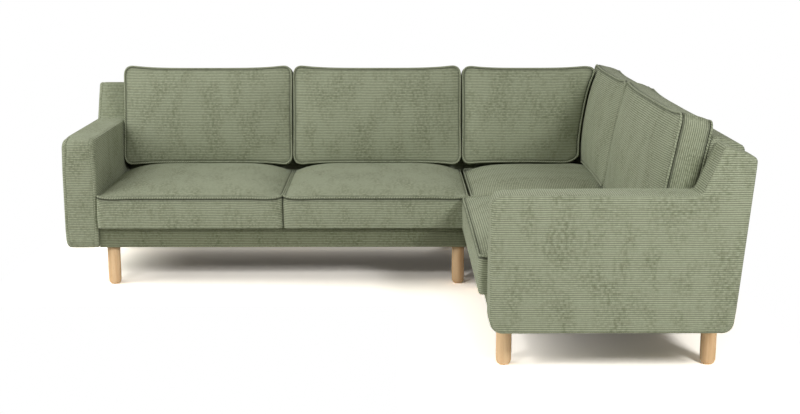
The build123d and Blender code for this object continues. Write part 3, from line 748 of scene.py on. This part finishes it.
cushions = [
    make_seat("seat_left", "left_seat", "seat_cushion_left",
              (left_x, corner_y - OVERHANG, seat_level), right, far, (cushion_width, seat_depth)),
    make_seat("seat_middle", "middle_seat", "seat_cushion_middle",
              (middle_x, corner_y - OVERHANG, seat_level), right, far, (cushion_width, seat_depth)),
    make_seat("seat_corner", "corner_seat", "seat_cushion_corner",
              (corner_x + CORNER_SEAT_GAP, corner_y + corner_depth, seat_level), near, right,
              (corner_depth + OVERHANG, corner_depth - CORNER_SEAT_GAP)),
    make_seat("seat_return", "return_seat", "seat_cushion_return",
              (corner_x - OVERHANG, split_y - CUSHION_GAP, seat_level), near, right,
              (near_length, seat_depth)),
    make_back("back_left", "left_back", "back_cushion_left",
              (left_x, corner_y + rest_line, back_level), right, near, cushion_width),
    make_back("back_middle", "middle_back", "back_cushion_middle",
              (middle_x, corner_y + rest_line, back_level), right, near, cushion_width),
    make_back("back_corner", "corner_back", "back_cushion_corner",
              (corner_x + CUSHION_GAP, corner_y + rest_line, back_level), right, near, corner_length,
              math.tan(RAKE), 1.0, beside_far_cushion),
    make_back("back_return_far", "far_return_back", "back_cushion_return_far",
              (corner_x + rest_line, split_y + CUSHION_GAP, back_level), far, left, far_length,
              math.tan(RAKE)),
    make_back("back_return_near", "near_return_back", "back_cushion_return_near",
              (corner_x + rest_line, arm_y + CUSHION_GAP, back_level), far, left, near_length),
]

filled = {}
sims = [cushion.hold() for cushion in cushions]
for step in range(1, FRAMES + 1):
    scene.frame_set(step)
graph = bpy.context.evaluated_depsgraph_get()
for cushion in cushions:
    shape = cushion.object.evaluated_get(graph)
    filled[cushion.name] = points_of(shape.to_mesh())
    shape.to_mesh_clear()
for cushion, sim in zip(cushions, sims):
    cushion.object.modifiers.remove(sim)
    cushion.object.vertex_groups.clear()
scene.frame_set(1)

for cushion in cushions:
    loops = cushion.settle(filled.get(cushion.name))
    piece = cushion.object
    finer = piece.modifiers.new("smooth", "SUBSURF")
    finer.levels = 1
    finer.render_levels = 1
    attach(piece, cushion.body)
    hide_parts(cushion.cad_node)
    for number, loop in enumerate(loops, 1):
        piping = tube(f"{cushion.name}_piping_{number}", loop, PIPING, sage)
        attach(piping, cushion.body)


# Upholstered frame

ARC_STEP = 0.16  # angle between the points of a rounded corner
ARM_OUTLINE = (  # places from the front and the floor, and corner radii
    (0, ARM_BOTTOM, 0.045),
    (DEPTH - REAR_LEAN, ARM_BOTTOM, 0.038),
    (DEPTH, POST_REAR, 0.020),
    (ARM_TOP + POST_LEAN, POST_HEIGHT, 0.016),
    (ARM_TOP, ARM_HEIGHT, 0.025),
    (0, ARM_HEIGHT, 0.046),
)
ARM_EYE = np.array((0.62, 0.42))  # every part of the outline is in straight view of this point
EDGE = 0.010  # rounding between a side panel and the band
POST_EDGE = 0.005  # more of it round the post
FOOT_EDGE = 0.008  # round the lower edge
FRONT_EDGE = 0.010  # and at the front of the top
PANEL_FALL = 0.0012  # how far a side panel's rim lies behind its middle
ARM_SEAM = 0.005  # seam of the band beyond the rounding
SEAM_DEPTH = 0.0030
SEAM_LIP = 0.0008
BAND_SEAMS = ((ARM_TOP + 0.004, ARM_HEIGHT + 0.004), (0.004, ARM_HEIGHT - 0.036))
BAND_DIP = 0.0022  # depth of the seams across the band
BAND_REACH = 0.006
BAND_BULGE = 0.0006
RUN_STEP = 0.06  # distance of the rows along a back
RUN_DIP = 0.0018  # depth of the seams across a back
RUN_REACH = 0.0016
THINNER = 0.001  # a base's cover is thinner than its solid by this, inside
DECK_LIP = 0.15  # where the fabric lip on the deck ends


def rounded_outline(corners, step=0.022):
    """Points round a closed outline with rounded corners, each corner a place and a radius."""
    count = len(corners)
    arcs = []
    for i in range(count):
        before, here, after = (Vector(corners[k % count][:2]) for k in (i - 1, i, i + 1))
        radius = corners[i][2]
        back, ahead = (before - here).normalized(), (after - here).normalized()
        angle = back.angle(ahead)
        reach = radius / math.tan(angle / 2)
        centre = here + (back + ahead).normalized() * (radius / math.sin(angle / 2))
        first, last = here + back * reach - centre, here + ahead * reach - centre
        sweep = math.pi - angle
        pieces = max(4, round(sweep / ARC_STEP))
        arc = []
        for k in range(pieces + 1):
            leaving, coming = math.sin(sweep * (1 - k / pieces)), math.sin(sweep * k / pieces)
            arc.append(centre + (first * leaving + last * coming) / math.sin(sweep))
        arcs.append(arc)
    points = []
    for i in range(count):
        points.extend(arcs[i])
        start, stop = arcs[i][-1], arcs[(i + 1) % count][0]
        pieces = max(1, round((stop - start).length / step))
        points.extend(start.lerp(stop, k / pieces) for k in range(1, pieces))
    return np.array([tuple(point) for point in points])


def finish_piece(piece, *cad_nodes, fill=0.95):
    """A padded, fabric-covered piece of the fixed frame."""
    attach(piece, "sofa_frame")
    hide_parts(*cad_nodes)


def sew_arm_side(sewing, at, outline, edge, flip):
    """One side panel of an arm, turned over the edge as far as the seam of the band."""
    outward = outward_from(outline)
    rows, cloth = [], []

    def add(points, across, spread):
        row = [at(point, ARM_WIDTH - reach if flip else reach) for point, reach in zip(points, across)]
        rows.append(row + row[:1])
        places = [(point[1], point[0]) for point in spread]
        cloth.append(places + places[:1])

    inner = outline - outward * edge[:, None]
    for scale in (0.22, 0.42, 0.62, 0.80, 0.90, 0.96, 1.0):
        points = ARM_EYE + (inner - ARM_EYE) * scale
        add(points, np.full(len(points), PANEL_FALL * scale ** 6), points)
    for angle in (15, 30, 45, 60, 75, 90):
        turn = math.radians(angle)
        add(outline - outward * (edge * (1 - math.sin(turn)))[:, None],
            PANEL_FALL + (edge - PANEL_FALL) * (1 - math.cos(turn)),
            outline - outward * (edge * (1 - turn))[:, None])
    for beyond, depth in ((ARM_SEAM / 2, 0.0), (ARM_SEAM - SEAM_LIP, SEAM_LIP), (ARM_SEAM, SEAM_DEPTH)):
        add(outline - outward * depth, edge + beyond,
            outline + outward * (edge * (math.pi / 2 - 1) + beyond)[:, None])
    middle = at(ARM_EYE, ARM_WIDTH if flip else 0.0)
    sewing.fan(rows[0][:-1], middle, cloth[0][:-1], (ARM_EYE[1], ARM_EYE[0]))
    sewing.grid(rows, cloth)


def sew_arm_band(sewing, at, outline, edge):
    """The band between an arm's side panels, with its own seams across it."""
    outward = outward_from(outline)
    walk = walked_round(outline)
    dip = np.zeros(len(outline))
    for spot in BAND_SEAMS:
        away = np.linalg.norm(outline - np.array(spot), axis=1)
        dip += BAND_DIP * np.exp(-(away / BAND_REACH) ** 2)
    first = edge + ARM_SEAM
    last = ARM_WIDTH - first
    steps = [(first, SEAM_DEPTH), (first + SEAM_LIP, SEAM_LIP), (first + 0.003, 0.0)]
    steps += [(first + (ARM_WIDTH - 2 * first) * k / 6, -BAND_BULGE) for k in range(1, 6)]
    steps += [(last - 0.003, 0.0), (last - SEAM_LIP, SEAM_LIP), (last, SEAM_DEPTH)]
    rows, cloth = [], []
    for across, depth in steps:
        sunk = depth + dip if depth < SEAM_DEPTH else np.full(len(dip), depth)
        points = [at(point, reach) for point, reach in zip(outline - outward * sunk[:, None], across)]
        rows.append(points + points[:1])
        cloth.append(list(zip(walk, [*across, across[0]])))
    sewing.grid(rows, cloth)


def make_arm(name, cad_node, origin, lateral, forward):
    """A padded arm: side panels turned over its edges, a band sewn between them, seams across the band."""
    origin, lateral, forward = Vector(origin), Vector(lateral), Vector(forward)

    def at(point, across):
        return origin + lateral * across + forward * point[0] + UP * point[1]

    outline = rounded_outline(ARM_OUTLINE)
    depth, height = outline[:, 0], outline[:, 1]
    edge = EDGE + POST_EDGE * smooth((height - 0.72) / 0.08) + FOOT_EDGE * smooth((0.26 - height) / 0.08)
    edge += FRONT_EDGE * smooth((height - 0.50) / 0.10) * smooth((0.14 - depth) / 0.10)
    sewing = Sewing()
    for flip in (False, True):
        sew_arm_side(sewing, at, outline, edge, flip)
    sew_arm_band(sewing, at, outline, edge)
    finish_piece(sewing.make(name, sage), cad_node)


make_arm("left_arm", "left_arm_cover", (left_arm_low.x, corner_y, 0), right, far)
make_arm("return_arm", "return_arm_cover", (corner_x, arm_y, 0), near, right)


def arm_rear(height):
    """Rear line of an arm at a height."""
    return DEPTH - REAR_LEAN * (1 - (height - ARM_BOTTOM) / (POST_REAR - ARM_BOTTOM))


def back_rear(height):
    """Rear of a back at a height."""
    return arm_rear(height) - BACK_INSET


def back_front(height):
    """Face of a back at a height."""
    return BACK_FOOT + max(0, height - DECK) * math.tan(RAKE)


top_rear = BACK_HEIGHT - BACK_FALL
back_outline = rounded_outline((
    (BACK_FOOT, UNDERSIDE, 0.002),
    (back_rear(UNDERSIDE), UNDERSIDE, 0.006),
    (back_rear(top_rear), top_rear, BACK_TOP_RADIUS),
    (back_front(BACK_HEIGHT), BACK_HEIGHT, BACK_TOP_RADIUS),
    (BACK_FOOT, DECK, 0.02),
), 0.03)


def make_back_cover(name, cad_node, at, start, stop, seams):
    """An upholstered back: its section (u, z) run along it, and mitred where start or stop changes with u."""
    walk = walked_round(back_outline)
    middle = back_outline.mean(0)
    long = stop(middle[0]) - start(middle[0])
    places = list(np.linspace(0, 1, max(2, round(long / RUN_STEP)) + 1))
    for seam in seams:
        places += [(seam + offset) / long for offset in (-0.004, -0.0015, 0.0, 0.0015, 0.004)]
    places.sort()
    rows, cloth = [], []
    for place in places:
        dip = sum(RUN_DIP * math.exp(-((place * long - seam) / RUN_REACH) ** 2) for seam in seams)
        row, row_cloth = [], []
        for i in range(len(walk)):
            spot = back_outline[i % len(back_outline)]
            inward = (middle - spot) / max(1e-6, np.linalg.norm(middle - spot))
            s = start(spot[0]) + (stop(spot[0]) - start(spot[0])) * place
            row.append(at(s, *(spot + inward * dip)))
            row_cloth.append((walk[i], s))
        rows.append(row)
        cloth.append(row_cloth)
    sewing = Sewing()
    sewing.grid(rows, cloth)
    rim_cloth = [(z, u) for u, z in back_outline]
    for row in (rows[0], rows[-1]):
        rim = row[:-1]
        centre = sum(rim, Vector((0, 0, 0))) / len(rim)
        sewing.fan(rim, centre, rim_cloth, (middle[1], middle[0]))
    finish_piece(sewing.make(name, sage), cad_node)


main_length = base_high.x - base_low.x
make_back_cover(
    "main_back", "main_back_cover",
    lambda s, u, z: Vector((arm_x + s, corner_y + u, z)),
    lambda u: ARM_GAP, lambda u: main_length - HAIR, (SEAT_WIDTH,))
make_back_cover(
    "return_back", "return_back_cover",
    lambda s, u, z: Vector((corner_x + u, corner_y + DEPTH - s, z)),
    lambda u: DEPTH - u + SEAM_GAP, lambda u: DEPTH + RETURN_SEAT - ARM_GAP, (0.55,))
make_back_cover(
    "end_back", "end_back_cover",
    lambda s, u, z: Vector((joint_x + s, corner_y + u, z)),
    lambda u: HAIR, lambda u: u - BASE_RECESS - SEAM_GAP, ())

pad_rear = BASE_RECESS + BASE_PAD - THINNER
deck_below = DECK - DECK_PAD + THINNER
skin_front = BACK_FOOT - BASE_SKIN + THINNER
base_outline = rounded_outline((
    (BASE_RECESS, UNDERSIDE, 0.006),
    (pad_rear, UNDERSIDE, 0.001),
    (pad_rear, deck_below, 0.001),
    (skin_front, deck_below, 0.001),
    (skin_front, UNDERSIDE, 0.001),
    (BACK_FOOT - SEAM_GAP, UNDERSIDE, 0.001),
    (BACK_FOOT - SEAM_GAP, DECK, 0.003),
    (BASE_RECESS, DECK, 0.010),
), 0.02)


def make_base_cover(name, cad_node, at, length):
    """A base's cover: padded apron, fabric lip on the deck, plain deck cloth behind its seam."""
    sewing = Sewing()
    walk = walked_round(base_outline)
    places = np.linspace(HAIR, length - HAIR, round(length / 0.05))
    closed = np.vstack((base_outline, base_outline[:1]))
    for i in range(len(base_outline)):
        a, b = closed[i], closed[i + 1]
        on_deck = min(a[1], b[1]) > DECK - 0.0005 and min(a[0], b[0]) > DECK_LIP
        sewing.grid(
            [[at(s, *a) for s in places], [at(s, *b) for s in places]],
            [[(walk[i], s) for s in places], [(walk[i + 1], s) for s in places]],
            int(on_deck),
        )
    rim_cloth = [(z, u) for u, z in base_outline]
    for s in (places[0], places[-1]):
        sewing.cap([at(s, *point) for point in base_outline], rim_cloth)
    # The base cover takes the sage corduroy painted darker, as painted shade.
    finish_piece(sewing.make(name, sage_apron, deck_cloth), cad_node)


make_base_cover(
    "main_base", "main_base_cover",
    lambda s, u, z: Vector((arm_x + s, corner_y + u, z)), main_length)
return_low, return_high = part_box("return_base_cover")
make_base_cover(
    "return_base", "return_base_cover",
    lambda s, u, z: Vector((corner_x + u, return_high.y - s, z)), return_high.y - return_low.y)


# Legs

LEG_SIDES = 40
FOOT_STEPS = 8
FOOT_SOFT = 0.004  # ring inside the flat of the foot
LEG_ARRIS = 0.0012


def leg_profile():
    """A leg's outline from its foot up: radius and height of each ring."""
    profile = [(0.0, 0.0), (LEG_FOOT - FOOT_SOFT, 0.0)]
    for k in range(FOOT_STEPS + 1):
        turn = math.pi / 2 * k / FOOT_STEPS
        profile.append((LEG_FOOT + (LEG_RADIUS - LEG_FOOT) * math.sin(turn),
                        LEG_FOOT_RISE * (1 - math.cos(turn))))
    top = UNDERSIDE - HAIR
    profile += [(LEG_RADIUS, 0.05), (LEG_RADIUS, 0.11), (LEG_RADIUS, top - LEG_ARRIS)]
    profile += [(LEG_RADIUS - LEG_ARRIS, top), (0.0, top)]
    return profile


def make_leg_row(cad_node):
    """Turned legs, standing where the solid ones do: straight, with a well rounded foot."""
    solid = frame["nodes"][cad_node].data
    feet = []
    for vertex in solid.vertices:
        spot = Vector((vertex.co.x, vertex.co.y, 0))
        if vertex.co.z < 0.0005:
            group = next((foot for foot in feet if (foot[0] - spot).length < 0.1), None)
            if group is None:
                feet.append([spot])
            else:
                group.append(spot)
    profile = leg_profile()
    cloth = [[(k / LEG_SIDES, height) for k in range(LEG_SIDES + 1)] for _, height in profile]
    turns = [2 * math.pi * k / LEG_SIDES for k in range(LEG_SIDES + 1)]
    sewing = Sewing()
    for group in feet:
        low = Vector((min(p.x for p in group), min(p.y for p in group), 0))
        high = Vector((max(p.x for p in group), max(p.y for p in group), 0))
        axis = (low + high) / 2
        rows = [[axis + Vector((radius * math.cos(turn), radius * math.sin(turn), height)) for turn in turns]
                for radius, height in profile]
        sewing.grid(rows, cloth)
    legs = sewing.make(f"{cad_node}_turned", beech)
    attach(legs, "sofa_frame")
    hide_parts(cad_node)


for row in ("main_front_legs", "main_rear_legs", "return_front_legs", "return_rear_legs"):
    make_leg_row(row)

finishes = {"frame_wood": softwood, "steel": zinc, "webbing": elastic, "lining": black_lining,
            "corduroy": sage, "leg_wood": beech}
for part in frame["record"]["subparts"]:
    solid = frame["nodes"][part["node"]].data
    solid.materials.clear()
    solid.materials.append(finishes[part["material_slot"]])


# Studio

FLOOR_LEVEL = -0.0006
FLOOR_SEEN = (2.5, 2.38, 2.20, 1)  # the floor's colour to the camera, above white
SHADOW_FULL = 0.02  # the shadow is whole as far as this beyond the object's plan
SHADOW_END = 0.32  # and has gone here
LEAST_WHITE = 0.02
WHITE = {"Color": (1, 1, 1, 1), "Strength": 1.0}
CAMERA_DOWN = 11.84  # degrees
CAMERA_TURN = -0.377


def beyond_plan(tree, place):
    """How far a place on the floor lies outside the two rectangles of the object's plan."""
    spot = node(tree, "ShaderNodeSeparateXYZ", {0: place}).outputs
    gaps = []
    for west, east, south, north in ((cad_low.x, cad_high.x, corner_y, cad_high.y),
                                     (corner_x, cad_high.x, cad_low.y, cad_high.y)):
        aside = maths(tree, "ABSOLUTE", maths(tree, "SUBTRACT", spot[0], (west + east) / 2))
        ahead = maths(tree, "ABSOLUTE", maths(tree, "SUBTRACT", spot[1], (south + north) / 2))
        gaps.append(maths(tree, "MAXIMUM", maths(tree, "SUBTRACT", aside, (east - west) / 2),
                          maths(tree, "SUBTRACT", ahead, (north - south) / 2)))
    return maths(tree, "MINIMUM", *gaps)


def make_floor():
    """A wide pale floor that keeps the shadow near the object and is plain white beyond."""
    lines = [-60, -20, -8, -4, -2, 0, 2, 4, 8, 20, 60]
    sewing = Sewing()
    plan = [[(x, y) for x in lines] for y in lines]
    sewing.grid([[(x, y, FLOOR_LEVEL) for x, y in row] for row in plan], plan)
    material, tree, out = blank("studio_floor")
    seen = straight_rays(tree)
    place = node(tree, "ShaderNodeTexCoord").outputs["Object"]
    grain = node(tree, "ShaderNodeTexNoise", {"Vector": place, "Scale": 30.0, "Detail": 3.0})
    plain = mixed(tree, grain.outputs[0], (0.78, 0.77, 0.75, 1), (0.80, 0.79, 0.77, 1))
    matt = node(tree, "ShaderNodeBsdfDiffuse", {"Color": mixed(tree, seen, plain, FLOOR_SEEN)})
    white = node(tree, "ShaderNodeEmission", WHITE)
    fade = node(tree, "ShaderNodeMapRange", {0: beyond_plan(tree, place), 1: SHADOW_FULL, 2: SHADOW_END},
                interpolation_type="SMOOTHSTEP")
    share = maths(tree, "MULTIPLY", maths(tree, "MAXIMUM", fade.outputs[0], LEAST_WHITE), seen)
    mix = node(tree, "ShaderNodeMixShader", {0: share, 1: matt.outputs[0], 2: white.outputs[0]})
    tree.links.new(mix.outputs[0], out.inputs[0])
    sewing.make("floor", material)


def make_lamp(name, place, aim, size, power):
    """A soft square studio lamp."""
    data = bpy.data.lights.new(name, "AREA")
    data.shape = "SQUARE"
    data.size = size
    data.energy = power
    lamp = bpy.data.objects.new(name, data)
    scene.collection.objects.link(lamp)
    lamp.location = place
    lamp.rotation_mode = "QUATERNION"
    lamp.rotation_quaternion = (Vector(aim) - Vector(place)).to_track_quat("-Z", "Y")


make_floor()
make_lamp("key", (-3.0, -5.2, 4.1), (0, 0, 0.3), 0.7, 72)
make_lamp("left", (-4.0, -0.4, 3.0), (1.0, -0.3, 0.6), 3.4, 142)
make_lamp("fill", (2.4, -4.0, 2.6), (0.9, -0.8, 0.4), 0.9, 92)
make_lamp("top", (0.2, -1.0, 4.6), (0, 0, 0), 3.2, 6)
make_lamp("rear", (1.5, 5.0, 3.4), (0, 0.4, 0.4), 2.5, 45)

world = bpy.data.worlds.new("studio")
scene.world = world
world.use_nodes = True
sky = world.node_tree
sky.nodes.clear()
sky_out = sky.nodes.new("ShaderNodeOutputWorld")
ambient = node(sky, "ShaderNodeBackground", {"Color": (1.0, 0.93, 0.80, 1), "Strength": 0.22})
plain_white = node(sky, "ShaderNodeBackground", WHITE)
chosen = node(sky, "ShaderNodeMixShader", {
    0: straight_rays(sky), 1: ambient.outputs[0], 2: plain_white.outputs[0]})
sky.links.new(chosen.outputs[0], sky_out.inputs[0])

camera_data = bpy.data.cameras.new("camera")
camera_data.sensor_width = 36.0
camera_data.lens = 56.32
camera = bpy.data.objects.new("camera", camera_data)
scene.collection.objects.link(camera)
camera.location = (0.102, -5.112, 1.462)
camera.rotation_euler = (math.radians(90 - CAMERA_DOWN), 0, math.radians(CAMERA_TURN))
scene.camera = camera
scene.view_settings.view_transform = "Standard"
